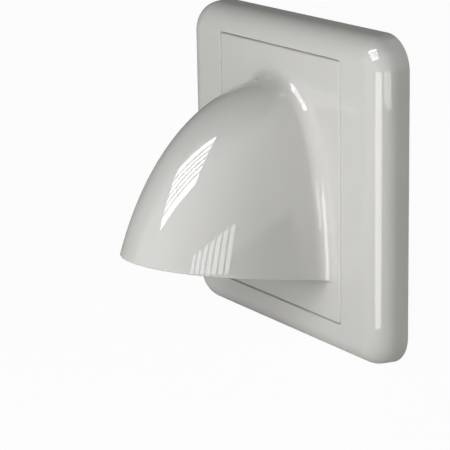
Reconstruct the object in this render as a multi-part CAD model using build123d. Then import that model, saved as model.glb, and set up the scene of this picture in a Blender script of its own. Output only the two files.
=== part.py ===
from build123d import *
import math
import os

# A media wall plate in millimetres: a clip-on surround frame, a centre insert moulded in one piece
# with an open cable hood, the chassis that both snap on to, and the two screws that hold the chassis.
# X runs to the right, Y into the wall and Z up. The origin is on the wall, at the plate's middle.

# Surround frame
frame_width = 86.0
frame_height = 86.0
frame_depth = 9.2
frame_corner_radius = 8.7
frame_edge_radius = 6.4
frame_draft = 5.0
frame_wall = 2.2
groove = 0.3
window_rim = 1.2

# Centre insert
insert_width = 53.0
insert_height = 68.9
insert_lift = 1.2
insert_corner_radius = 0.8
insert_edge_radius = 0.35
insert_wall = 2.4
skirt_wall = 1.4

# Cable hood, whose side and front profiles are rounder than a parabola by their fullness
hood_apex = 27.5
hood_foot = -22.6
hood_half_width = 22.0
hood_reach = 49.7
hood_wall = 2.0
hood_blend = 3.6
hood_rim_rise = 10.3
side_fullness = 2.0
front_fullness = 0.54
depth_power = 2.65
section_points = 9
section_run_on = 1.3
hood_stations = 10
station_spread = 1.3
hood_run_out = 1.0

# Cable passage through the insert and the chassis
passage_sill = -20.0
passage_corner = 2.0
sleeve_wall = 1.4
sleeve_recess = 0.6

# Chassis, with room for the clips between it and the frame's wall
chassis_room = 2.3
chassis_corner_radius = 5.0
chassis_wall = 2.0
chassis_seat = 4.5
chassis_skirt = 2.0
boss_wall = 2.0

# Snap legs of the insert and snap clips of the frame
leg_width = 8.0
leg_thickness = 1.4
leg_spacing = 40.0
leg_inset = 1.0
clip_width = 10.0
clip_thickness = 1.2
clip_spacing = 44.0
bead = 0.6
bead_height = 1.2
tip_recess = 0.8
snap_play = 0.15
slip_gap = 0.3

# Fixing screws and their slots
screw_spacing = 60.3
slot_length = 7.0
slot_width = 4.0
screw_diameter = 3.5
neck_diameter = 3.1
screw_length = 12.0
screw_point = 0.8
head_diameter = 6.8
head_height = 2.0
head_edge_radius = 0.7
head_play = 0.2
drive_width = 1.0
drive_length = 4.4
drive_depth = 1.1

# Faces that follow from the sizes above
front = -frame_depth
frame_inside = front + frame_wall
insert_back = front + insert_wall
chassis_width = frame_width - 2 * (frame_wall + chassis_room)
chassis_height = frame_height - 2 * (frame_wall + chassis_room)
chassis_front = -chassis_seat
chassis_back = chassis_front + chassis_wall
beyond = 2 * frame_width
plane_play = 0.01


def wall_plane(y):
    """Plane parallel to the wall at depth y, looking out of the wall."""
    return Plane(origin=(0, y, 0), x_dir=(1, 0, 0), z_dir=(0, -1, 0))


def plate(width, height, corner, y_back, y_front, lift=0.0, draft=0.0):
    """Rounded rectangular block between two depths, drawn in towards the room."""
    outline = wall_plane(y_back) * Pos(0, lift) * RectangleRounded(width, height, corner)
    return extrude(outline, amount=y_back - y_front, taper=draft)


def block(x, z, width, height, y_back, y_front):
    """Plain block centred on x and z, between two depths."""
    outline = wall_plane(y_back) * Pos(x, z) * Rectangle(width, height)
    return extrude(outline, amount=y_back - y_front)


def edges_at(part, y):
    """Edges that lie wholly in the plane parallel to the wall at depth y."""
    return part.edges().filter_by_position(Axis.Y, y - plane_play, y + plane_play)


def screw_places():
    """Names and centres of the two fixing screws."""
    return {"left": -screw_spacing / 2, "right": screw_spacing / 2}


def pair(spacing):
    """Two places on either side of the middle."""
    return (-spacing / 2, spacing / 2)


def hood_section(distance, shrink):
    """Arched outline of the hood, cut parallel to the wall at a distance from the plate."""
    apex = hood_apex - shrink
    half_width = hood_half_width - shrink
    reach = hood_reach - shrink
    drop = hood_apex - hood_foot
    full = 1 + front_fullness
    start = (full - math.sqrt(full**2 - 4 * front_fullness * (distance / reach) ** 2)) / (2 * front_fullness)
    right = []
    for step in range(section_points + 1):
        fall = start + (section_run_on - start) * (step / section_points) ** 2
        side = half_width * math.sqrt(fall * (1 + side_fullness) / (1 + side_fullness * fall))
        depth = reach * math.sqrt(fall * (full - front_fullness * fall))
        share = min(1.0, distance / depth) if depth > 0 else 0.0
        right.append((side * math.sqrt(1 - share**depth_power), apex - drop * fall))
    left = [(-x, z) for x, z in reversed(right[1:])]
    arch = Spline(*left, *right)
    return wall_plane(front - distance) * make_face([arch, Line(arch @ 1, arch @ 0)])


def hood_form(shrink):
    """Solid of the hood's arched form, from the plate's face outwards and on below the rim."""
    last = hood_reach - shrink - hood_run_out
    steps = range(hood_stations + 1)
    return loft([hood_section(last * (step / hood_stations) ** station_spread, shrink) for step in steps])


def rim_waste():
    """Everything under the hood's rim plane, in front of the plate."""
    rise = beyond * math.tan(math.radians(hood_rim_rise))
    slope = Polyline((front, -beyond), (front, hood_foot), (front - beyond, hood_foot + rise),
                     (front - beyond, -beyond), close=True)
    side = Plane.YZ * make_face(slope)
    return extrude(side, amount=beyond, both=True)


def head_way(x, play, y_front):
    """Room for a fixing screw's head, from the wall forward to a depth."""
    return wall_plane(0) * Pos(x, 0) * extrude(Circle(head_diameter / 2 + play), amount=-y_front)


def passage(grow, y_back, y_front):
    """Solid of the arched cable passage, grown outwards, between two depths."""
    above_sill = Pos(0, passage_sill - grow + beyond / 2) * Rectangle(beyond, beyond)
    opening = hood_section(0, hood_wall - grow) & wall_plane(front) * above_sill
    outline = fillet(opening.vertices().sort_by(Axis.Z)[:2], passage_corner + grow)
    return extrude(Pos(0, y_back - front, 0) * outline, amount=y_back - y_front)


def hood_on_plate():
    """Front wall of the insert with the hood blended into it and cut off at its rim."""
    slab = block(0, 0, beyond, beyond, insert_back, front)
    joined = slab + hood_form(0)
    seam = edges_at(joined, front).filter_by(GeomType.BSPLINE)
    blended = fillet(seam, hood_blend) - rim_waste()
    outline = plate(insert_width, insert_height, insert_corner_radius, insert_back, -beyond, insert_lift)
    return blended & outline


def snap_leg(x, side):
    """Leg behind the insert, with a bead that catches behind the chassis."""
    outer = insert_height / 2 - skirt_wall - leg_inset
    leg = block(x, insert_lift + side * (outer - leg_thickness / 2), leg_width, leg_thickness,
                -tip_recess, insert_back)
    catch = block(x, insert_lift + side * outer, leg_width, 2 * bead,
                  chassis_back + snap_play + bead_height, chassis_back + snap_play)
    back_edges = catch.faces().sort_by(Axis.Y)[-1].edges()
    lead_in = back_edges.sort_by(Axis.Z)[-1 if side > 0 else 0]
    return leg + chamfer(lead_in, bead)


def hood_insert():
    """Centre insert: panel, hood, skirt, cable sleeve and four snap legs, moulded in one piece."""
    body = hood_on_plate()
    rim = [edge for edge in edges_at(body, front) if abs(edge.center().X) > insert_width / 2 - groove
           or abs(edge.center().Z - insert_lift) > insert_height / 2 - groove]
    body = fillet(rim, insert_edge_radius)
    skirt = plate(insert_width, insert_height, insert_corner_radius, chassis_front, insert_back, insert_lift)
    skirt -= block(0, insert_lift, insert_width - 2 * skirt_wall, insert_height - 2 * skirt_wall,
                   chassis_front, insert_back)
    body = body + skirt + passage(sleeve_wall, -sleeve_recess, insert_back)
    for x in pair(leg_spacing):
        for side in (-1, 1):
            body += snap_leg(x, side)
    for x in screw_places().values():
        body -= head_way(x, head_play, insert_back)
    body -= hood_form(hood_wall)
    return body - passage(0, 0, front)


def frame_clip(x, side):
    """Tab inside the frame, with a bead that snaps into a notch of the chassis."""
    inner = chassis_height / 2 + snap_play
    tab = block(x, side * (inner + clip_thickness / 2), clip_width, clip_thickness, -tip_recess, frame_inside)
    catch = block(x, side * inner, clip_width, 2 * bead,
                  chassis_back + snap_play + bead_height, chassis_back + snap_play)
    return tab + catch


def surround_frame():
    """Hollow surround frame with rounded front edges, a window and four clips inside."""
    outer = plate(frame_width, frame_height, frame_corner_radius, 0, front, draft=frame_draft)
    outer = fillet(edges_at(outer, front), frame_edge_radius)
    hollow = plate(frame_width - 2 * frame_wall, frame_height - 2 * frame_wall,
                   frame_corner_radius - frame_wall, 0, frame_inside, draft=frame_draft)
    hollow = fillet(edges_at(hollow, frame_inside), frame_edge_radius - frame_wall)
    window_width = insert_width + 2 * groove
    window_height = insert_height + 2 * groove
    window_corner = insert_corner_radius + groove
    body = outer - hollow
    body += plate(window_width + 2 * window_rim, window_height + 2 * window_rim,
                  window_corner + window_rim, chassis_front, frame_inside, insert_lift)
    body -= plate(window_width, window_height, window_corner, 0, front, insert_lift)
    for x in pair(clip_spacing):
        for side in (-1, 1):
            body += frame_clip(x, side)
    for x in screw_places().values():
        body -= head_way(x, slip_gap, frame_inside)
    return body


def chassis():
    """Moulded chassis: plate, skirt to the wall, cable window, screw bosses and snap slots."""
    body = plate(chassis_width, chassis_height, chassis_corner_radius, 0, chassis_front)
    body -= plate(chassis_width - 2 * chassis_skirt, chassis_height - 2 * chassis_skirt,
                  chassis_corner_radius - chassis_skirt, 0, chassis_back)
    for x in screw_places().values():
        boss = SlotOverall(slot_length + 2 * boss_wall, slot_width + 2 * boss_wall)
        body += wall_plane(0) * Pos(x, 0) * extrude(boss, amount=-chassis_back)
    for x in screw_places().values():
        body -= wall_plane(0) * Pos(x, 0) * extrude(SlotOverall(slot_length, slot_width), amount=chassis_seat)
    body -= passage(sleeve_wall + slip_gap, 0, chassis_front)
    leg_outer = insert_height / 2 - skirt_wall - leg_inset
    for x in pair(leg_spacing):
        for side in (-1, 1):
            body -= block(x, insert_lift + side * (leg_outer - leg_thickness / 2), leg_width + 2 * snap_play,
                          leg_thickness + 2 * snap_play, chassis_back, chassis_front)
    for x in pair(clip_spacing):
        for side in (-1, 1):
            body -= block(x, side * chassis_height / 2, clip_width + 2 * snap_play, 2 * bead,
                          0, chassis_back)
    return body


def fixing_screw(x):
    """Pan-head screw with a cross recess, driven through the chassis towards the wall box."""
    head = wall_plane(chassis_front) * Pos(x, 0) * extrude(Circle(head_diameter / 2), amount=head_height)
    head = fillet(edges_at(head, chassis_front - head_height), head_edge_radius)
    neck = wall_plane(0) * Pos(x, 0) * extrude(Circle(neck_diameter / 2), amount=chassis_seat)
    tip = chassis_front + screw_length
    thread = wall_plane(tip) * Pos(x, 0) * extrude(Circle(screw_diameter / 2), amount=tip)
    thread = chamfer(edges_at(thread, tip), screw_point)
    top = chassis_front - head_height
    screw = head + neck + thread
    screw -= block(x, 0, drive_length, drive_width, top + drive_depth, top)
    return screw - block(x, 0, drive_width, drive_length, top + drive_depth, top)


os.makedirs("parts", exist_ok=True)
export_step(surround_frame(), "parts/surround_frame.step")
export_step(hood_insert(), "parts/hood_insert.step")
export_step(chassis(), "parts/chassis.step")
for name, place in screw_places().items():
    export_step(fixing_screw(place), f"parts/fixing_screw_{name}.step")
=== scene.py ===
import logging
import math
from collections.abc import Callable
from dataclasses import dataclass, field
from enum import Enum

import bmesh
import bpy
from bmesh.types import BMEdge, BMFace, BMesh, BMVert
from bpy.types import ID, Material, Mesh, Node, Object, World
from mathutils import Matrix, Vector


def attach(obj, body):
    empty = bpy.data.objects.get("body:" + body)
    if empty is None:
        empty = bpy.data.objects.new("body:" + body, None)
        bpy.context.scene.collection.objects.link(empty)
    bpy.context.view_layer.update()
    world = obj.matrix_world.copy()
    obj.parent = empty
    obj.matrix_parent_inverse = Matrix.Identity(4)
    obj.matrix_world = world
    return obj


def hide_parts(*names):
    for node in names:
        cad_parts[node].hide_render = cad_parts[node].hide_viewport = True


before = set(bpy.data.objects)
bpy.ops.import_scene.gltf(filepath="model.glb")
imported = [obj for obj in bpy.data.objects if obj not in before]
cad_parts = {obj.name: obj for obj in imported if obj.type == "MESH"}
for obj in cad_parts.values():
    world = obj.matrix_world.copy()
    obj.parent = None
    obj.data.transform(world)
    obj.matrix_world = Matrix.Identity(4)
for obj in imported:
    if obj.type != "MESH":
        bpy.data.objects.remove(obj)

# Looks of a wall plate with a cable hood. Shapes are worked out in millimetres and stored in
# metres, in the frame of the CAD: X to the right, Y into the wall, Z up, the wall at Y = 0.

MM = 0.001
BODY = "root"
SHARP_ANGLE = math.radians(32)
FLAT_ENOUGH = 0.9
TOUCH = 1e-4
HALVINGS = 40
OVERLAP = 0.3
QUARTER = math.pi / 2
FULL_TURN = 2 * math.pi
TONE_ENDS = (0.32, 0.68)
SHINE_ENDS = (0.3, 0.7)
CLOUD_ROUGHNESS = 0.55
WHITE = (1, 1, 1, 1)

Span = tuple[float, float]
Triple = tuple[float, float, float]
Tones = tuple[Triple, Triple]

log = logging.getLogger("wall_plate")
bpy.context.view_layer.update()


class Side(Enum):
    """Which half of the plate a mirrored detail is on."""

    LEFT = -1
    RIGHT = 1


@dataclass(frozen=True)
class Cloud:
    """Noise pattern: size of a cloud in metres, finer layers, stretch, and height if it is a relief."""

    size: float
    detail: float
    stretch: Triple = (1, 1, 1)
    height: float = 0.0


class Recipe:
    """Node tree of one material or world, written in short calls."""

    def __init__(self, owner: Material | World) -> None:
        """Starts with an empty tree.

        Args:
            owner: The material or world whose nodes are written.
        """
        owner.use_nodes = True
        self.owner = owner
        self.tree = owner.node_tree
        self.tree.nodes.clear()

    def node(self, kind: str, values: dict | None = None, links: dict | None = None,
             **settings: object) -> Node:
        """Adds one node.

        Args:
            kind: The node's type name.
            values: Numbers or colours, by socket.
            links: The node and output that feed a socket, by socket.
            settings: The node's own options.

        Returns:
            The new node.
        """
        made = self.tree.nodes.new(kind)
        for name, value in settings.items():
            setattr(made, name, value)
        for socket, value in (values or {}).items():
            made.inputs[socket].default_value = value
        for socket, (source, output) in (links or {}).items():
            self.tree.links.new(source.outputs[output], made.inputs[socket])
        return made

    def noise(self, cloud: Cloud) -> Node:
        """Cloudy pattern on the object's own coordinates.

        Args:
            cloud: What the pattern is like.

        Returns:
            The noise node.
        """
        place = self.node("ShaderNodeTexCoord")
        scale = self.node("ShaderNodeMapping", {"Scale": cloud.stretch}, {"Vector": (place, "Object")})
        values = {"Scale": 1 / cloud.size, "Detail": cloud.detail, "Roughness": CLOUD_ROUGHNESS}
        return self.node("ShaderNodeTexNoise", values, {"Vector": (scale, "Vector")})

    def spread(self, cloud: Cloud, low: float, high: float) -> Node:
        """Turns a pattern into values from low to high."""
        values = {"From Min": SHINE_ENDS[0], "From Max": SHINE_ENDS[1], "To Min": low, "To Max": high}
        return self.node("ShaderNodeMapRange", values, {"Value": (self.noise(cloud), "Fac")})

    def tint(self, cloud: Cloud, tones: Tones) -> Node:
        """Colour that wanders between two tones with a pattern.

        Args:
            cloud: The pattern.
            tones: Tone at its low end and at its high end.

        Returns:
            The ramp node.
        """
        made = self.node("ShaderNodeValToRGB", links={"Fac": (self.noise(cloud), "Fac")})
        for element, end, tone in zip(made.color_ramp.elements, TONE_ENDS, tones):
            element.position, element.color = end, (*tone, 1)
        return made

    def relief(self, cloud: Cloud, under: Node | None) -> Node:
        """Bump from a pattern, over another bump if there is one."""
        links = {"Height": (self.noise(cloud), "Fac")} | ({"Normal": (under, "Normal")} if under else {})
        return self.node("ShaderNodeBump", {"Strength": 1.0, "Distance": cloud.height}, links)


@dataclass(frozen=True)
class Finish:
    """Skin with a tone that wanders, patches that shine more or less, and layers of fine relief."""

    name: str
    tones: Tones
    flow: Cloud
    patches: Cloud
    shine: Span
    reliefs: tuple[Cloud, ...]
    metal: float = 0.0
    density: float = 1.5

    def make(self) -> Material:
        """Writes the material's nodes.

        Returns:
            The material.
        """
        recipe = Recipe(bpy.data.materials.new(self.name))
        tone = recipe.tint(self.flow, self.tones)
        shine = recipe.spread(self.patches, *self.shine)
        relief = None
        for layer in self.reliefs:
            relief = recipe.relief(layer, relief)
        shader = recipe.node("ShaderNodeBsdfPrincipled", {"Metallic": self.metal, "IOR": self.density}, {
            "Base Color": (tone, "Color"), "Roughness": (shine, "Result"), "Normal": (relief, "Normal")})
        recipe.node("ShaderNodeOutputMaterial", links={"Surface": (shader, "BSDF")})
        return recipe.owner


@dataclass(frozen=True)
class GlossPlastic(Finish):
    """Moulded plastic with a polished skin: shallow sink waves, a fine grain and handled patches."""

    tones: Tones = ((0.685, 0.68, 0.652), (0.70, 0.695, 0.668))
    flow: Cloud = Cloud(0.018, 3)
    patches: Cloud = Cloud(0.009, 4, (1, 1, 2))
    shine: Span = (0.01, 0.03)
    reliefs: tuple[Cloud, ...] = (Cloud(0.006, 1, height=2.5e-6), Cloud(0.0005, 2, height=5e-8))


@dataclass(frozen=True)
class SatinPlastic(Finish):
    """Moulded plastic with the spark texture of its tool."""

    tones: Tones = ((0.51, 0.51, 0.50), (0.56, 0.56, 0.55))
    flow: Cloud = Cloud(0.012, 4)
    patches: Cloud = Cloud(0.004, 3)
    shine: Span = (0.42, 0.62)
    reliefs: tuple[Cloud, ...] = (Cloud(0.00035, 3, height=2e-5),)


@dataclass(frozen=True)
class ZincPlate(Finish):
    """Bright zinc plate on steel, with light staining and fine rolling marks."""

    tones: Tones = ((0.52, 0.51, 0.47), (0.68, 0.67, 0.63))
    flow: Cloud = Cloud(0.0016, 4)
    patches: Cloud = Cloud(0.0008, 3)
    shine: Span = (0.22, 0.42)
    reliefs: tuple[Cloud, ...] = (Cloud(0.00025, 2, (1, 0.2, 1), height=6e-6),)
    metal: float = 1.0


def add(name: str, data: ID) -> Object:
    """Puts an object with this data into the scene.

    Args:
        name: Its name.
        data: Its mesh, light or camera.

    Returns:
        The object.
    """
    made = bpy.data.objects.new(name, data)
    bpy.context.scene.collection.objects.link(made)
    return made


def add_mesh(name: str, mesh: BMesh, material: Material) -> Object:
    """Puts a finished mesh into the scene.

    Args:
        name: The object's name.
        mesh: Its shape in metres, freed here.
        material: Its material.

    Returns:
        The object.
    """
    data = bpy.data.meshes.new(name)
    mesh.to_mesh(data)
    mesh.free()
    data.materials.append(material)
    return add(name, data)


def halve(span: Span, below: Callable[[float], bool]) -> float:
    """Closes in on the value where a test stops holding.

    Args:
        span: A value where the test holds, and a higher one where it doesn't.
        below: The test.

    Returns:
        The value.
    """
    low, high = span
    for _ in range(HALVINGS):
        middle = (low + high) / 2
        low, high = (middle, high) if below(middle) else (low, middle)
    return low


def rounding(radius: float, first: float, last: float, steps: int) -> list[Span]:
    """Points of a rounded edge as out and forward, between angles of 0 at the side and 90 at the front."""
    turns = [math.radians(first + (last - first) * step / steps) for step in range(steps + 1)]
    return [(radius * math.cos(turn), radius * math.sin(turn)) for turn in turns]


def sweep(mesh: BMesh, spots: list[Vector], centre: Vector, axis: Triple, angle: float, steps: int,
          **more: object) -> None:
    """Spins a row of points round an axis.

    Args:
        mesh: Mesh that it is added to.
        spots: The points, in order.
        centre: A point of the axis.
        axis: Its direction.
        angle: How far round, in radians.
        steps: Number of steps.
        more: Further options of the spin.
    """
    verts = [mesh.verts.new(spot) for spot in spots]
    edges = [mesh.edges.new(pair) for pair in zip(verts, verts[1:])]
    bmesh.ops.spin(mesh, geom=verts + edges, cent=centre, axis=axis, angle=angle, steps=steps, **more)


@dataclass(frozen=True)
class Outline:
    """Rounded rectangle parallel to the wall."""

    half_width: float
    half_height: float
    corner: float
    depth: float
    lift: float = 0.0

    def places(self, steps: int) -> list[Vector]:
        """Points along the outline, the same number for every outline.

        Args:
            steps: Straight runs in each corner.

        Returns:
            The points, in order.
        """
        found = []
        for quarter, (right, up) in enumerate(((1, 1), (-1, 1), (-1, -1), (1, -1))):
            centre = Vector((right * (self.half_width - self.corner), self.depth,
                             self.lift + up * (self.half_height - self.corner)))
            for step in range(steps + 1):
                turn = QUARTER * (quarter + step / steps)
                found.append(centre + self.corner * Vector((math.cos(turn), 0, math.sin(turn))))
        return found


class Moulding:
    """One mesh in the making, in millimetres, with the moves that the pieces share."""

    def __init__(self) -> None:
        """Starts with nothing."""
        self.mesh = bmesh.new()

    def ring(self, places: list[Vector]) -> list[BMVert]:
        """Closed loop of edges.

        Args:
            places: Its points, in order.

        Returns:
            Its vertices, in order.
        """
        made = bmesh.ops.create_circle(self.mesh, segments=len(places), radius=1.0)["verts"]
        made.sort(key=lambda vert: math.atan2(vert.co.y, vert.co.x) % FULL_TURN)
        for vert, place in zip(made, places):
            vert.co = place
        return made

    def edges_of(self, chain: list[BMVert], closed: bool) -> list[BMEdge]:
        """Edges that join neighbours in a chain, in order."""
        ends = chain + chain[:1] if closed else chain
        return [self.mesh.edges.get(pair) or self.mesh.edges.new(pair) for pair in zip(ends, ends[1:])]

    def carry(self, chain: list[BMVert], places: list[Vector], closed: bool = True) -> list[BMVert]:
        """Extrudes a chain and puts the new vertices in place.

        Args:
            chain: Vertices in order.
            places: Where the new ones go.
            closed: Whether the chain is a loop.

        Returns:
            The new chain.
        """
        made = bmesh.ops.extrude_edge_only(self.mesh, edges=self.edges_of(chain, closed))["geom"]
        fresh = {item for item in made if isinstance(item, BMVert)}
        follow = [next(other for edge in vert.link_edges if (other := edge.other_vert(vert)) in fresh)
                  for vert in chain]
        for vert, place in zip(follow, places):
            vert.co = place
        return follow

    def carry_outlines(self, chain: list[BMVert], outlines: list[Outline], steps: int) -> list[BMVert]:
        """Extrudes a loop through outlines with so many steps in each corner, to the last loop."""
        for outline in outlines:
            chain = self.carry(chain, outline.places(steps))
        return chain

    def fill_flat(self, edges: list[BMEdge], facing: float) -> None:
        """Fills a flat region between all the edges round it and its holes, facing along Y."""
        bmesh.ops.triangle_fill(self.mesh, use_beauty=True, use_dissolve=False, edges=edges,
                                normal=Vector((0, facing, 0)))

    def block(self, low: Triple, high: Triple) -> list[BMVert]:
        """Box between two corners.

        Args:
            low: Lowest corner.
            high: Highest corner.

        Returns:
            Its vertices.
        """
        size = Vector(high) - Vector(low)
        middle = (Vector(high) + Vector(low)) / 2
        place = Matrix.Translation(middle) @ Matrix.Diagonal((*size, 1))
        return bmesh.ops.create_cube(self.mesh, size=1.0, matrix=place)["verts"]

    def finish(self, name: str, slot: str, node: str, finish: Finish, face: float | None = None) -> None:
        """Turns the mesh into a piece that stands for a CAD node.

        Args:
            name: The piece's name.
            slot: Not used.
            node: The CAD node it stands for.
            finish: Its finish.
            face: Depth of the flat front whose edges shade as flat, if it has one.
        """
        bmesh.ops.recalc_face_normals(self.mesh, faces=self.mesh.faces)
        for edge in self.mesh.edges:
            edge.smooth = not (len(edge.link_faces) == 2 and edge.calc_face_angle() > SHARP_ANGLE)
        for polygon in self.mesh.faces:
            polygon.smooth = True
        bmesh.ops.scale(self.mesh, vec=(MM, MM, MM), verts=self.mesh.verts)
        piece = add_mesh(name, self.mesh, finish.make())
        if face is not None:
            settle_front(piece.data, face * MM)
        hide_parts(node)
        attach(piece, BODY)
        log.info("%s: %d faces in place of %s", name, len(piece.data.polygons), node)


def settle_front(data: Mesh, depth: float) -> None:
    """Makes everything that runs into the flat front shade as flat where it meets it.

    Args:
        data: The mesh.
        depth: Where the front is along Y, in metres.
    """
    outward = Vector((0, -1, 0))
    normals = [Vector(corner.vector) for corner in data.corner_normals]
    for polygon in data.polygons:
        if polygon.normal.dot(outward) < FLAT_ENOUGH:
            continue
        for corner in polygon.loop_indices:
            if abs(data.vertices[data.loops[corner].vertex_index].co.y - depth) < TOUCH * MM:
                normals[corner] = outward
    data.normals_split_custom_set([tuple(normal) for normal in normals])


def swing(first: Vector, last: Vector, share: float) -> Vector:
    """Unit vector part of the way along the arc between two others.

    Args:
        first: Where the arc starts.
        last: Where it ends.
        share: How far along it, from 0 to 1.

    Returns:
        The unit vector.
    """
    sweep = first.angle(last)
    if sweep < TOUCH:
        return first.copy()
    return (math.sin((1 - share) * sweep) * first + math.sin(share * sweep) * last) / math.sin(sweep)


@dataclass(frozen=True)
class Snaps:
    """Four tabs, two above and two below, each with a bead that snaps behind the chassis."""

    spacing: float
    width: float
    face: float
    thickness: float
    lift: float = 0.0
    tip: float = -0.8
    bead: float = 0.6
    bead_front: float = -2.35
    bead_back: float = -1.15
    lead_in: bool = False

    def build(self, shape: Moulding, root: float) -> None:
        """Adds the tabs to a moulding.

        Args:
            shape: The moulding.
            root: Depth of the wall that they stand on.
        """
        half = self.width / 2
        bars = ((self.face, self.face + self.thickness, root - OVERLAP, self.tip),
                (self.face - self.bead, self.face + self.bead, self.bead_front, self.bead_back))
        for across in (-self.spacing / 2, self.spacing / 2):
            for up in (-1, 1):
                for start, end, front, back in bars:
                    low, high = sorted((self.lift + up * start, self.lift + up * end))
                    catch = shape.block((across - half, front, low), (across + half, back, high))
                if self.lead_in:
                    self.slope(shape, catch, up)

    def slope(self, shape: Moulding, catch: list[BMVert], up: int) -> None:
        """Slopes the outer back edge of a bead, so that it slides into place.

        Args:
            shape: The moulding.
            catch: The bead's vertices.
            up: 1 above the middle, -1 below.
        """
        outer = {vert for vert in catch if abs(vert.co.y - self.bead_back) < TOUCH
                 and (vert.co.z - self.lift) * up > self.face}
        lead = list({edge for vert in outer for edge in vert.link_edges if edge.other_vert(vert) in outer})
        bmesh.ops.bevel(shape.mesh, geom=lead, offset=self.bead, segments=1, profile=0.5,
                        affect="EDGES", material=-1)


@dataclass
class SurroundFrame:
    """Hollow frame with rounded edges, a window for the insert and four clips."""

    half: float = 43.0
    front: float = -9.2
    corner: float = 8.7
    edge: float = 6.4
    draft: float = 5.0
    wall: float = 2.2
    window_half_width: float = 26.8
    window_half_height: float = 34.75
    window_corner: float = 1.1
    window_edge: float = 0.3
    window_lift: float = 1.2
    window_rim: float = 1.2
    seat: float = -4.5
    head_room: float = 3.7
    screw_place: float = 30.15
    clips: Snaps = Snaps(spacing=44.0, width=10.0, face=38.65, thickness=1.2)
    corner_steps: int = 14
    edge_steps: int = 18
    window_steps: int = 3
    shape: Moulding = field(default_factory=Moulding)

    def skin(self, half: float, corner: float, radius: float, face: float) -> list[Outline]:
        """Outlines from the wall up the drafted side and round the edge to the flat face.

        Args:
            half: Half the width at the wall.
            corner: Corner radius at the wall.
            radius: Radius of the rounded edge.
            face: Depth of the flat face.

        Returns:
            The outlines, from the wall.
        """
        lean = math.tan(math.radians(self.draft))
        setback = radius / math.tan(math.radians((90 + self.draft) / 2))
        middle = half + face * lean - setback
        found = [Outline(half, half, corner, 0.0)]
        for out, forward in rounding(radius, self.draft, 90, self.edge_steps):
            reach = middle + out
            found.append(Outline(reach, reach, corner - (half - reach), face + radius - forward))
        return found

    def window(self, grow: float, depth: float) -> Outline:
        """Outline of the window, grown by an amount, at a depth."""
        return Outline(self.window_half_width + grow, self.window_half_height + grow,
                       self.window_corner + grow, depth, self.window_lift)

    def build(self) -> None:
        """Sweeps the frame's section round its outline and adds the screw notches and clips."""
        inside = self.front + self.wall
        outer = self.skin(self.half, self.corner, self.edge, self.front)
        inner = self.skin(self.half - self.wall, self.corner - self.wall, self.edge - self.wall, inside)
        edge = [self.window(self.window_edge - out, self.front + self.window_edge - forward)
                for out, forward in reversed(rounding(self.window_edge, 0, 90, self.window_steps))]
        row = outer + edge + [self.window(0, inside), self.window(0, self.seat),
                              self.window(self.window_rim, self.seat), self.window(self.window_rim, inside)]
        row += list(reversed(inner))
        first = self.shape.ring(row[0].places(self.corner_steps))
        last = self.shape.carry_outlines(first, row[1:], self.corner_steps)
        ends = self.shape.edges_of(first, True) + self.shape.edges_of(last, True)
        bmesh.ops.bridge_loops(self.shape.mesh, edges=ends)
        for side in Side:
            self.notch(side, inside)
        self.clips.build(self.shape, inside)

    def notch(self, side: Side, inside: float) -> None:
        """Gap in the window's rim for one screw's head.

        Args:
            side: Which screw.
            inside: Depth of the front wall's back.
        """
        mesh = self.shape.mesh
        reach = self.screw_place - self.window_half_width
        half = math.sqrt(self.head_room**2 - (reach - self.window_rim) ** 2)
        for height in (-half, half):
            slab = [face for face in mesh.faces if self.in_rim(face, side, inside)]
            around = list({item for face in slab for item in (*face.verts, *face.edges)}) + slab
            bmesh.ops.bisect_plane(mesh, geom=around, plane_co=(0, 0, height), plane_no=(0, 0, 1))
        cut = [face for face in mesh.faces if self.in_rim(face, side, inside)
               and abs(face.calc_center_median().z) < half]
        bmesh.ops.delete(mesh, geom=cut, context="FACES")
        corners = {vert for edge in mesh.edges if edge.is_boundary for vert in edge.verts}
        ends = [[vert for vert in corners if abs(vert.co.z - height) < TOUCH] for height in (-half, half)]
        roof = [vert for vert in corners if abs(vert.co.y - inside) < TOUCH]
        for patch in (*ends, roof):
            bmesh.ops.contextual_create(mesh, geom=patch)

    def in_rim(self, face: BMFace, side: Side, inside: float) -> bool:
        """Whether a face belongs to the window's rim on one side.

        Args:
            face: The face.
            side: Which side.
            inside: Depth of the front wall's back.

        Returns:
            True for the rim's own three walls.
        """
        middle = face.calc_center_median()
        out = middle.x * side.value - self.window_half_width
        beside = -TOUCH < out < self.window_rim + TOUCH
        return beside and middle.y > inside + TOUCH and len(face.verts) == 4

    def dress(self, finish: GlossPlastic) -> None:
        """Gives the frame its polished skin."""
        self.shape.finish("frame_moulding", "frame_plastic", "surround_frame", finish, self.front)


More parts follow.
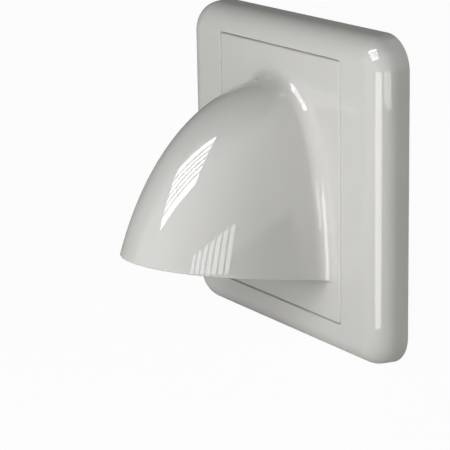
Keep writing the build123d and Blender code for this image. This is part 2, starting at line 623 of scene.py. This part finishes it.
@dataclass(frozen=True)
class HoodForm:
    """Free form of the hood, as one formula. A point has two numbers, across and out, that run
    over a half disc: the straight side lies on the plate and the round side is the rim."""

    shrink: float = 0.0
    apex_height: float = 27.5
    foot_height: float = -22.6
    hood_half_width: float = 22.0
    hood_reach: float = 49.7
    side_fullness: float = 2.0
    front_fullness: float = 0.54
    depth_power: float = 2.65
    rim_rise: float = 10.3
    front: float = -9.2
    lip: float = 0.4
    facing: float = 1.0
    rim_between: Span = (0.5, 1.3)
    least_fall: float = 1e-12
    probe: float = 1e-5

    def point(self, across: float, out: float) -> Vector:
        """Point of the form.

        Args:
            across: From -1 on the left to 1 on the right.
            out: From 0 on the plate to 1 at the front of the rim.

        Returns:
            The point, in millimetres.
        """
        fall = max(across**2 + out**2, self.least_fall)
        round_off = (1 + self.side_fullness) / (1 + self.side_fullness * fall)
        wide = (self.hood_half_width - self.shrink) * math.sqrt(round_off)
        full = 1 + self.front_fullness - self.front_fullness * fall
        deep = (self.hood_reach - self.shrink) * math.sqrt(fall * full)
        bulge = (max(out, 0.0) / math.sqrt(fall)) ** (2 / self.depth_power)
        drop = self.apex_height - self.foot_height
        height = self.apex_height - self.shrink - drop * fall
        return Vector((wide * across, self.front - deep * bulge, height))

    def outward(self, across: float, out: float) -> Vector:
        """Direction square to the form, out of the hood's wall.

        Args:
            across: As for a point.
            out: As for a point.

        Returns:
            Unit vector.
        """
        along = self.point(across + self.probe, out) - self.point(across - self.probe, out)
        forward = self.point(across, out + self.probe) - self.point(across, out - self.probe)
        return self.facing * forward.cross(along).normalized()

    def down(self) -> Vector:
        """Direction square to the rim's plane, out of the wall."""
        rise = math.radians(self.rim_rise)
        return Vector((0, -math.sin(rise), -math.cos(rise)))

    def above_rim(self, point: Vector) -> float:
        """Distance of a point from the rim's plane, more than 0 above it."""
        return (Vector((0, self.front, self.foot_height)) - point).dot(self.down())

    def over_lip(self, across: float, out: float) -> float:
        """How far the form's point is above the place where the rim's rounding touches the form."""
        centre = self.point(across, out) - self.lip * self.outward(across, out)
        return self.above_rim(centre) - self.lip

    def rim(self, turn: float) -> Span:
        """Where the rim's rounding starts in one direction of the half disc.

        Args:
            turn: Direction in radians, 0 to the right and a quarter turn to the front.

        Returns:
            Its across and out.
        """
        across, out = math.cos(turn), math.sin(turn)
        reach = halve(self.rim_between, lambda share: self.over_lip(share * across, share * out) > 0)
        return reach * across, reach * out


@dataclass
class HoodInsert:
    """Centre insert: flat panel and hood in one moulding, with the skirt, sleeve and legs behind."""

    front: float = -9.2
    half_width: float = 26.5
    half_height: float = 34.45
    lift: float = 1.2
    corner: float = 0.8
    edge: float = 0.5
    wall: float = 2.4
    skirt: float = 1.4
    seat: float = -4.5
    blend: float = 3.6
    sill: float = -20.0
    sill_corner: float = 2.0
    sleeve: float = 1.4
    sleeve_back: float = -0.6
    legs: Snaps = Snaps(spacing=40.0, width=8.0, face=32.05, thickness=-1.4, lift=1.2, lead_in=True)
    lip_fade: float = 1.2
    lip_steps: int = 4
    edge_steps: int = 4
    least_corner: float = 0.2
    seam_between: Span = (1e-4, 0.25)
    end_between: Span = (0.7, 1.1)
    columns: int = 160
    rows: int = 72
    blend_steps: int = 20
    corner_steps: int = 8
    turn: float = math.radians(48)
    shape: Moulding = field(default_factory=Moulding)
    outer: HoodForm = HoodForm()
    inner: HoodForm = HoodForm(shrink=2.0, facing=-1.0)

    def seam(self, across: float) -> Span:
        """Where the blend leaves the hood: a ball rolled along the corner touches it there.

        Args:
            across: Place along the seam.

        Returns:
            Its across and out.
        """
        def under(out: float) -> bool:
            """Whether the ball is still below the place where it touches both."""
            point, normal = self.outer.point(across, out), self.outer.outward(across, out)
            return self.front - point.y <= self.blend * (1 + normal.y)

        return across, halve(self.seam_between, under)

    def seam_end(self) -> float:
        """How far across the seam meets the rim's rounding."""
        return halve(self.end_between, lambda across: self.outer.over_lip(*self.seam(across)) > 0)

    def rim_line(self, form: HoodForm, start: float) -> list[Span]:
        """Line where a skin meets the rim's rounding, from its right foot round the front to the left.

        Args:
            form: The skin's form.
            start: Direction of the right foot.

        Returns:
            Across and out of its points.
        """
        reach = math.cos(self.turn)
        turns = [start + (self.turn - start) * row / self.rows for row in range(self.rows)]
        turns += [math.acos(reach * (1 - 2 * column / self.columns)) for column in range(self.columns + 1)]
        turns += [math.pi - turn for turn in reversed(turns[:self.rows])]
        return [form.rim(turn) for turn in turns]

    def patch(self, form: HoodForm, base: list[Span], rim: list[Span]) -> list[list[Vector]]:
        """Points of one skin of the hood, between the line it starts from and the rim.

        Args:
            form: The skin's form.
            base: Across and out along the line it starts from, left to right.
            rim: Across and out along the rim, right to left.

        Returns:
            Rows of points from that line to the rim, each from left to right.
        """
        right = rim[:self.rows + 1]
        left = [(-across, out) for across, out in right]
        top = list(reversed(rim[self.rows:self.rows + self.columns + 1]))
        found = []
        for row in range(self.rows + 1):
            up = row / self.rows
            line = []
            for column in range(self.columns + 1):
                over = column / self.columns
                spot = [(1 - up) * base[column][k] + up * top[column][k]
                        + (1 - over) * left[row][k] + over * right[row][k]
                        - (1 - over) * (1 - up) * base[0][k] - over * (1 - up) * base[-1][k]
                        - (1 - over) * up * top[0][k] - over * up * top[-1][k] for k in (0, 1)]
                line.append(form.point(spot[0], max(spot[1], 0.0)))
            found.append(line)
        return found

    def grid(self, points: list[list[Vector]]) -> list[list[BMVert]]:
        """Grid of faces laid over rows of points.

        Args:
            points: Rows of points.

        Returns:
            Rows of vertices.
        """
        made = bmesh.ops.create_grid(self.shape.mesh, x_segments=self.columns, y_segments=self.rows,
                                     size=1.0)
        rows = [[None] * (self.columns + 1) for _ in range(self.rows + 1)]
        for vert in made["verts"]:
            column = round((vert.co.x + 1) / 2 * self.columns)
            row = round((vert.co.y + 1) / 2 * self.rows)
            rows[row][column] = vert
            vert.co = points[row][column]
        return rows

    def rim_chain(self, rows: list[list[BMVert]]) -> list[BMVert]:
        """Vertices of a skin along the rim, from the right foot round the front to the left."""
        right = [row[-1] for row in rows]
        left = [row[0] for row in rows]
        return right[:-1] + list(reversed(rows[-1])) + list(reversed(left[:-1]))

    def lip_radius(self, spot: Vector) -> float:
        """Radius of the rim's outer rounding, which runs out where the blend meets the panel."""
        return self.outer.lip * min(1.0, (self.front - spot.y) / self.lip_fade)

    def roll(self, place: Span, end: bool) -> list[tuple[Vector, Vector]]:
        """Rolled blend, from the hood down to the plate, at one place of the seam.

        Args:
            place: Across and out of the place.
            end: Whether it is an end of the seam, where the blend's points lie along the rim.

        Returns:
            Points without the one on the hood, each with the direction square to the blend.
        """
        point, normal = self.outer.point(*place), self.outer.outward(*place)
        centre = point + self.blend * normal
        found = []
        for step in range(1, self.blend_steps + 1):
            ray = swing(-normal, Vector((0, 1, 0)), step / self.blend_steps)
            spot = centre + self.blend * ray
            if step == self.blend_steps:
                spot.y = self.front
            if end:
                lip = self.lip_radius(spot)
                spot.z -= (self.outer.above_rim(spot + lip * ray) - lip) / -self.outer.down().z
            found.append((spot, -ray))
        return found

    def build(self) -> None:
        """Builds the hood's two skins, the blend, the rim, the panel round them and what is behind."""
        places = [2 * column / self.columns - 1 for column in range(self.columns + 1)]
        end = self.seam_end()
        seam = [self.seam(end * place) for place in places]
        outer_rim = self.rim_line(self.outer, math.atan2(seam[-1][1], seam[-1][0]))
        skin = self.grid(self.patch(self.outer, seam, outer_rim))
        rolls = [self.roll(spot, spot in (seam[0], seam[-1])) for spot in seam]
        blend = [skin[0]]
        for step in range(self.blend_steps):
            blend.append(self.shape.carry(blend[-1], [roll[step][0] for roll in rolls], closed=False))
        foot = [(self.inner.rim(0.0)[0] * place, 0.0) for place in places]
        inner_rim = self.rim_line(self.inner, 0.0)
        lining = self.grid(self.patch(self.inner, foot, inner_rim))
        outside = ([row[-1] for row in reversed(blend[1:])] + self.rim_chain(skin)
                   + [row[0] for row in blend[1:]])
        square = ([square for _, square in reversed(rolls[-1])]
                  + [self.outer.outward(*spot) for spot in outer_rim] + [square for _, square in rolls[0]])
        low_outside = self.round_lip(outside, square, [self.lip_radius(vert.co) for vert in outside])
        inside = self.rim_chain(lining)
        square = [self.inner.outward(*spot) for spot in inner_rim]
        low_inside = self.round_lip(inside, square, [self.inner.lip] * len(inside))
        self.close_rim(low_outside, low_inside)
        self.close_panel(lining[0])
        self.legs.build(self.shape, self.front + self.wall)

    def round_lip(self, chain: list[BMVert], square: list[Vector], radii: list[float]) -> list[BMVert]:
        """Rounds one edge of the rim, from a skin to the rim's flat.

        Args:
            chain: Vertices along the skin's edge.
            square: Direction square to the skin at each.
            radii: Radius of the rounding at each.

        Returns:
            Vertices along the edge of the flat.
        """
        starts = [vert.co.copy() for vert in chain]
        ends = [abs(start.y - self.front) < TOUCH for start in starts]
        for step in range(1, self.lip_steps + 1):
            spots = [start + radius * (swing(out, self.outer.down(), step / self.lip_steps) - out)
                     for start, out, radius in zip(starts, square, radii)]
            for spot, end in zip(spots, ends):
                spot.y = self.front if end else spot.y
            chain = self.shape.carry(chain, spots, closed=False)
        return chain

    def close_rim(self, outside: list[BMVert], inside: list[BMVert]) -> None:
        """Closes the rim's flat between its two rounded edges.

        Args:
            outside: Vertices along its outer edge, those of the blend at both ends too.
            inside: Vertices along its inner edge.
        """
        mesh, ends = self.shape.mesh, self.blend_steps
        across = self.shape.carry(outside[ends:-ends], [vert.co.copy() for vert in inside], closed=False)
        bmesh.ops.weld_verts(mesh, targetmap=dict(zip(across, inside)))
        mesh.faces.new(outside[:ends + 1] + inside[:1])
        mesh.faces.new(outside[-ends - 1:] + inside[-1:])
        tips = [vert for vert in mesh.verts if (vert.co - outside[0].co).length < TOUCH
                or (vert.co - outside[-1].co).length < TOUCH]
        bmesh.ops.remove_doubles(mesh, verts=tips, dist=TOUCH)

    def sill_chain(self, start: Vector, end: Vector) -> list[BMVert]:
        """Passage's rounded sill between two points of the hood's lining.

        Args:
            start: Right-hand point.
            end: Left-hand point.

        Returns:
            New vertices from right to left.
        """
        found = []
        for corner, side in ((start, Side.RIGHT), (end, Side.LEFT)):
            drop = corner.z - self.sill
            centre = Vector((corner.x - side.value * self.sill_corner, self.front, corner.z))
            turns = [QUARTER * step / self.corner_steps for step in range(1, self.corner_steps + 1)]
            reach = side.value * self.sill_corner
            arc = [centre + Vector((reach * math.cos(turn), 0, -drop * math.sin(turn))) for turn in turns]
            found += arc if side is Side.RIGHT else list(reversed(arc))
        return [self.shape.mesh.verts.new(place) for place in found]

    def close_panel(self, arch: list[BMVert]) -> None:
        """Builds the flat panel round the hood, the cable passage and the walls behind.

        Args:
            arch: Lining's first row, on the panel, from left to right.
        """
        mesh, steps = self.shape.mesh, self.corner_steps
        half = self.columns // 2
        arch_foot = self.sill + self.sill_corner
        split = min(range(half, self.columns), key=lambda spot: abs(arch[spot].co.z - arch_foot))
        over = arch[self.columns - split:split + 1]
        doorway = set(self.shape.edges_of(over, False))
        foot = [edge for edge in mesh.edges if edge.is_boundary and edge not in doorway
                and all(abs(vert.co.y - self.front) < TOUCH for vert in edge.verts)]
        passage = over + self.sill_chain(over[-1].co, over[0].co)
        foot += self.shape.edges_of(passage[len(over) - 1:] + over[:1], False)
        edge = [self.outline(self.edge - out, self.front + self.edge - forward)
                for out, forward in reversed(rounding(self.edge, 0, 90, self.edge_steps))]
        rim = self.shape.ring(edge[0].places(steps))
        back = self.front + self.wall
        walls = edge[1:] + [self.outline(0, self.seat), self.outline(self.skirt, self.seat),
                            self.outline(self.skirt, back)]
        last = self.shape.carry_outlines(rim, walls, steps)
        self.shape.fill_flat(self.shape.edges_of(rim, True) + foot, -1)
        near = [Vector((vert.co.x, self.sleeve_back, vert.co.z)) for vert in passage]
        wide = self.widen(near)
        tube = passage
        for places in (near, wide, [Vector((place.x, back, place.z)) for place in wide]):
            tube = self.shape.carry(tube, places)
        self.shape.fill_flat(self.shape.edges_of(last, True) + self.shape.edges_of(tube, True), 1)

    def widen(self, places: list[Vector]) -> list[Vector]:
        """Moves a closed row of points outwards by the sleeve's wall.

        Args:
            places: Points in order.

        Returns:
            The moved points.
        """
        found = []
        for before, here, after in zip(places[-1:] + places[:-1], places, places[1:] + places[:1]):
            square = (after - before).cross(Vector((0, 1, 0))).normalized()
            if square.dot(here) < 0:
                square.negate()
            found.append(here + self.sleeve * square)
        return found

    def outline(self, inset: float, depth: float) -> Outline:
        """Panel's outline, drawn in by an amount, at a depth."""
        corner = max(self.corner - inset, self.least_corner)
        return Outline(self.half_width - inset, self.half_height - inset, corner, depth, self.lift)

    def dress(self, finish: GlossPlastic) -> None:
        """Gives the insert its polished skin."""
        self.shape.finish("hood_moulding", "insert_plastic", "hood_insert", finish, self.front)


@dataclass
class FixingScrew:
    """Pan-head machine screw with a cross recess and a rolled thread."""

    side: Side
    place: float = 30.15
    seat: float = -4.5
    head_radius: float = 3.4
    head_height: float = 2.0
    head_edge: float = 0.7
    neck_radius: float = 1.55
    thread_radius: float = 1.75
    root_radius: float = 1.32
    pitch: float = 0.6
    tip: float = 7.5
    flank: float = 0.24
    crest: float = 0.10
    point_radii: Span = (1.65, 1.02)
    crown_radius: float = 2.2
    recess_arm: float = 2.09
    recess_half_width: float = 0.5
    recess_depth: float = 1.1
    recess_draft: float = 0.82
    point_length: float = 0.8
    steps: int = 36
    edge_steps: int = 6
    shape: Moulding = field(default_factory=Moulding)

    def build(self) -> None:
        """Winds the thread and spins the head, neck and core, then presses the cross into the head."""
        middle = Vector((self.place * self.side.value, 0, 0))
        turns = int((self.tip - self.point_length - self.pitch) / self.pitch)
        self.wind_thread(middle, turns)
        top, end = self.seat - self.head_height, (turns + 1) * self.pitch
        edge = [(self.head_radius - self.head_edge + out, top + self.head_edge - forward)
                for out, forward in reversed(rounding(self.head_edge, 0, 90, self.edge_steps))]
        self.lathe(middle, [
            (self.crown_radius, top), *edge, (self.head_radius, self.seat), (self.neck_radius, self.seat),
            (self.neck_radius, 0.0), (self.root_radius, 0.0), (self.root_radius, end),
            (self.point_radii[0], end), (self.point_radii[1], self.tip), (0.0, self.tip)])
        self.press_cross(middle, top)

    def lathe(self, middle: Vector, profile: list[Span]) -> None:
        """Spins a profile all the way round the screw's axis.

        Args:
            middle: The screw's axis.
            profile: Radius and depth of its points.
        """
        mesh = self.shape.mesh
        before = set(mesh.verts)
        spots = [middle + Vector((radius, depth, 0)) for radius, depth in profile]
        sweep(mesh, spots, middle, (0, 1, 0), FULL_TURN, self.steps, use_merge=True)
        fresh = [vert for vert in mesh.verts if vert not in before]
        bmesh.ops.remove_doubles(mesh, verts=fresh, dist=TOUCH)

    def press_cross(self, middle: Vector, top: float) -> None:
        """Closes the head's top round the cross recess and sinks the recess.

        Args:
            middle: The screw's axis.
            top: Depth of the head's top.
        """
        mesh = self.shape.mesh
        rim = [edge for edge in mesh.edges if edge.is_boundary]
        long, short = self.recess_arm, self.recess_half_width
        arm = (complex(long, -short), complex(long, short), complex(short, short))
        corners = [corner * 1j**quarter for quarter in range(4) for corner in arm]
        cross = self.shape.ring([middle + Vector((corner.real, top, corner.imag)) for corner in corners])
        self.shape.fill_flat(rim + self.shape.edges_of(cross, True), -1)
        spots = [Vector((middle.x + (vert.co.x - middle.x) * self.recess_draft, top + self.recess_depth,
                         vert.co.z * self.recess_draft)) for vert in cross]
        floor = self.shape.carry(cross, spots)
        bmesh.ops.contextual_create(mesh, geom=self.shape.edges_of(floor, True))

    def wind_thread(self, middle: Vector, turns: int) -> None:
        """Winds the thread along the shank and closes both ends.

        Args:
            middle: The screw's axis.
            turns: Number of turns.
        """
        mesh = self.shape.mesh
        profile = [(self.root_radius, 0.0), (self.thread_radius, self.flank),
                   (self.thread_radius, self.flank + self.crest),
                   (self.root_radius, 2 * self.flank + self.crest), (self.root_radius, self.pitch)]
        spots = [middle + Vector((radius, depth, 0)) for radius, depth in profile]
        sweep(mesh, spots, middle, (0, 1, 0), FULL_TURN * turns, self.steps * turns,
              dvec=(0, self.pitch / self.steps, 0))
        bmesh.ops.remove_doubles(mesh, verts=mesh.verts, dist=TOUCH)
        gaps = [edge for edge in mesh.edges if edge.is_boundary]
        caps = bmesh.ops.holes_fill(mesh, edges=gaps, sides=0)["faces"]
        bmesh.ops.poke(mesh, faces=caps)

    def dress(self, finish: ZincPlate) -> None:
        """Gives the screw its plated skin."""
        name = self.side.name.lower()
        self.shape.finish(f"screw_{name}", "screw_steel", f"fixing_screw_{name}", finish)


@dataclass
class Chassis:
    """Carrier behind the plate: its CAD solid has the right shape and is shown as it is."""

    node: str = "chassis"

    def dress(self, finish: SatinPlastic) -> None:
        """Gives the solid its satin skin.

        Args:
            finish: Its finish.
        """
        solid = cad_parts[self.node]
        solid.data.materials.clear()
        solid.data.materials.append(finish.make())
        log.info("%s: shown with %s", self.node, finish.name)


@dataclass(frozen=True)
class Bearing:
    """Where a lamp or card hangs: a direction from the object, in degrees, and a distance."""

    azimuth: float
    height: float
    distance: float

    def away(self) -> Vector:
        """Unit vector from the object towards the place."""
        azimuth, height = math.radians(self.azimuth), math.radians(self.height)
        level = math.cos(height)
        return Vector((math.sin(azimuth) * level, -math.cos(azimuth) * level, math.sin(height)))

    def facing(self, aim: Vector, lean: float = 0.0) -> Matrix:
        """Place and turn of something that hangs there and faces a point.

        Args:
            aim: The point.
            lean: Turn about the line to the point, in degrees.

        Returns:
            The matrix.
        """
        away = self.away()
        turn = away.to_track_quat("Z", "Y").to_matrix().to_4x4()
        leaned = turn @ Matrix.Rotation(math.radians(lean), 4, "Z")
        return Matrix.Translation(aim + self.distance * away) @ leaned


def hang(mesh: BMesh, name: str, glow: float, tint: Triple) -> None:
    """Makes a stage object that only mirrored rays see.

    Args:
        mesh: Its shape, in place.
        name: Its name.
        glow: How bright it is.
        tint: Its colour.
    """
    recipe = Recipe(bpy.data.materials.new(name))
    light = recipe.node("ShaderNodeEmission", {"Color": (*tint, 1), "Strength": glow})
    recipe.node("ShaderNodeOutputMaterial", links={"Surface": (light, "Emission")})
    card = add_mesh(name, mesh, recipe.owner)
    card.visible_camera = card.visible_diffuse = card.visible_transmission = False
    card.visible_volume_scatter = card.visible_shadow = False


@dataclass(frozen=True)
class FlatCard:
    """Flat bright card that the polished skin mirrors, whole or in panes with dark gaps."""

    name: str
    bearing: Bearing
    across: Span
    along: Span
    glow: float
    tint: Triple = (1.0, 1.0, 1.0)
    slats: int = 0
    slatted: Span = (0.0, 0.0)
    gap: float = 0.0
    lean: float = 0.0

    def panes(self) -> list[Span]:
        """Splits the card into panes.

        Returns:
            Left and right edge of each pane.
        """
        if not self.slats:
            return [self.across]
        low, high = self.slatted
        lines = [low + (high - low) * number / self.slats for number in range(self.slats + 1)]
        starts = [self.across[0]] + [line + self.gap / 2 for line in lines]
        ends = [line - self.gap / 2 for line in lines] + [self.across[1]]
        return [(start, end) for start, end in zip(starts, ends) if end > start]

    def place(self, aim: Vector) -> None:
        """Hangs the card, facing the object.

        Args:
            aim: Point that it faces.
        """
        mesh = bmesh.new()
        bottom, top = self.along
        for left, right in self.panes():
            middle = Matrix.Translation(((left + right) / 2, (bottom + top) / 2, 0))
            size = Matrix.Diagonal((right - left, top - bottom, 1, 1))
            bmesh.ops.create_grid(mesh, x_segments=1, y_segments=1, size=0.5,
                                  matrix=self.bearing.facing(aim, self.lean) @ middle @ size)
        hang(mesh, self.name, self.glow, self.tint)


@dataclass(frozen=True)
class SweptCard:
    """Card swept round an upright axis: a dark screen round the object, or a patch of bright floor."""

    name: str
    profile: tuple[Span, ...]
    azimuths: Span
    glow: float
    tint: Triple = (1.0, 1.0, 1.0)
    centre: Span = (0.0, 0.0)
    steps: int = 24

    def place(self, aim: Vector) -> None:
        """Sweeps the profile, given as distance and height, from the first azimuth to the last.

        Args:
            aim: Point that it stands round.
        """
        mesh = bmesh.new()
        first, last = (math.radians(azimuth) for azimuth in self.azimuths)
        middle = aim + Vector((*self.centre, 0))
        spots = [middle + Vector((math.sin(first) * out, -math.cos(first) * out, height))
                 for out, height in self.profile]
        sweep(mesh, spots, middle, (0, 0, 1), last - first, self.steps)
        hang(mesh, self.name, self.glow, self.tint)


@dataclass(frozen=True)
class SoftLamp:
    """Soft lamp that lights the object without showing in its skin."""

    name: str
    bearing: Bearing
    size: float
    power: float

    def place(self, aim: Vector) -> None:
        """Hangs the lamp, facing the object.

        Args:
            aim: Point that it faces.
        """
        light = bpy.data.lights.new(self.name, "AREA")
        light.size = self.size
        light.energy = self.power
        lamp = add(self.name, light)
        lamp.matrix_world = self.bearing.facing(aim)
        lamp.visible_glossy = lamp.visible_camera = False


@dataclass
class Studio:
    """Floor, background, lamps, cards and camera."""

    aim: Vector = field(default_factory=lambda: Vector((0, -0.02, 0)))
    floor_height: float = -0.0432
    floor_size: float = 6.0
    floor_white: float = 0.82
    floor_shown: float = 0.96
    soft_light: float = 0.085
    white_light: float = 1.0
    lamps: tuple[SoftLamp, ...] = (
        SoftLamp("main_lamp", Bearing(20, 25, 0.42), 0.20, 0.90),
        SoftLamp("low_lamp", Bearing(30, 3, 0.30), 0.12, 0.17),
        SoftLamp("back_lamp", Bearing(180, 15, 1.4), 0.9, 5.0),
        SoftLamp("left_lamp", Bearing(-90, 4, 1.4), 0.9, 4.0),
    )
    cards: tuple[FlatCard | SweptCard, ...] = (
        FlatCard("window_card", Bearing(0, 45, 1.2), (-0.40, 0.36), (-0.36, 0.30), 13.0,
                 tint=(0.96, 0.97, 1.0), slats=4, slatted=(-0.22, 0.20), gap=0.040, lean=135),
        FlatCard("side_card", Bearing(72.6, 0, 0.369), (-0.102, 0.102), (-0.036, 0.037), 5.5,
                 slats=7, slatted=(-0.102, 0.102), gap=0.010),
        SweptCard("floor_card", ((0.030, -0.0425), (1.4, -0.0425)), (14, 44), 5.5,
                  tint=(1.0, 0.99, 0.97), centre=(0.040, 0.012)),
        SweptCard("dark_screen", ((1.7, -0.02), (1.7, 1.2), (1.0, 2.0), (0.0, 2.2)), (-150, -35), 0.06),
        SweptCard("dark_top", ((1.0, 2.0), (0.0, 2.2)), (-35, 210), 0.15),
    )
    lens: float = 155.41
    clip: Span = (0.01, 50.0)
    eye: Triple = (405.95, -297.92, 129.31)
    yaw: float = 56.24
    tilt: float = 15.87
    roll: float = -1.15

    def place_camera(self) -> None:
        """Sets the camera where the photograph was taken from."""
        data = bpy.data.cameras.new("camera")
        data.lens = self.lens
        data.clip_start, data.clip_end = self.clip
        place = Matrix.Translation(Vector(self.eye) * MM)
        for angle, axis in ((self.yaw, "Z"), (90 - self.tilt, "X"), (self.roll, "Z")):
            place @= Matrix.Rotation(math.radians(angle), 4, axis)
        camera = add("camera", data)
        camera.matrix_world = place
        bpy.context.scene.camera = camera

    def place_floor(self) -> None:
        """Lays the pale floor that the plate stands on."""
        mesh = bmesh.new()
        bmesh.ops.create_grid(mesh, x_segments=1, y_segments=1, size=self.floor_size / 2)
        bmesh.ops.translate(mesh, vec=(0, 0, self.floor_height), verts=mesh.verts)
        recipe = Recipe(bpy.data.materials.new("floor_paper"))
        paper = recipe.node("ShaderNodeBsdfDiffuse", {"Color": (*[self.floor_white] * 3, 1)})
        plain = recipe.node("ShaderNodeEmission", {"Color": WHITE, "Strength": 1.0})
        path = recipe.node("ShaderNodeLightPath")
        share = recipe.node("ShaderNodeMath", {1: self.floor_shown}, {0: (path, "Is Camera Ray")},
                            operation="MULTIPLY")
        mix = recipe.node("ShaderNodeMixShader", links={
            "Fac": (share, "Value"), 1: (paper, "BSDF"), 2: (plain, "Emission")})
        recipe.node("ShaderNodeOutputMaterial", links={"Surface": (mix, "Shader")})
        floor = add_mesh("floor", mesh, recipe.owner)

    def light_world(self) -> None:
        """White background for the camera and mirrored rays, soft grey light for the rest."""
        world = bpy.data.worlds.new("studio")
        bpy.context.scene.world = world
        recipe = Recipe(world)
        path = recipe.node("ShaderNodeLightPath")
        either = recipe.node("ShaderNodeMath", operation="MAXIMUM", links={
            0: (path, "Is Camera Ray"), 1: (path, "Is Transmission Ray")})
        shown = recipe.node("ShaderNodeMath", operation="MAXIMUM", links={
            0: (either, "Value"), 1: (path, "Is Glossy Ray")})
        soft, white = (recipe.node("ShaderNodeBackground", {"Color": WHITE, "Strength": strength})
                       for strength in (self.soft_light, self.white_light))
        mix = recipe.node("ShaderNodeMixShader", links={
            "Fac": (shown, "Value"), 1: (soft, "Background"), 2: (white, "Background")})
        recipe.node("ShaderNodeOutputWorld", links={"Surface": (mix, "Shader")})

    def build(self) -> None:
        """Sets up everything that isn't part of the object."""
        bpy.context.scene.view_settings.view_transform = "Standard"
        self.place_camera()
        self.place_floor()
        self.light_world()
        for item in self.lamps + self.cards:
            item.place(self.aim)
        log.info("studio: %d lamps and %d cards", len(self.lamps), len(self.cards))


def main() -> None:
    """Builds and dresses the plate's pieces, then the studio round them."""
    logging.basicConfig(level=logging.INFO, format="%(name)s: %(message)s")
    insert = HoodInsert()
    insert.build()
    insert.dress(GlossPlastic("insert_gloss"))
    surround = SurroundFrame()
    surround.build()
    surround.dress(GlossPlastic("frame_gloss"))
    Chassis().dress(SatinPlastic("chassis_satin"))
    for side in Side:
        screw = FixingScrew(side)
        screw.build()
        screw.dress(ZincPlate(f"zinc_{side.name.lower()}"))
    Studio().build()


if __name__ == "__main__":
    main()
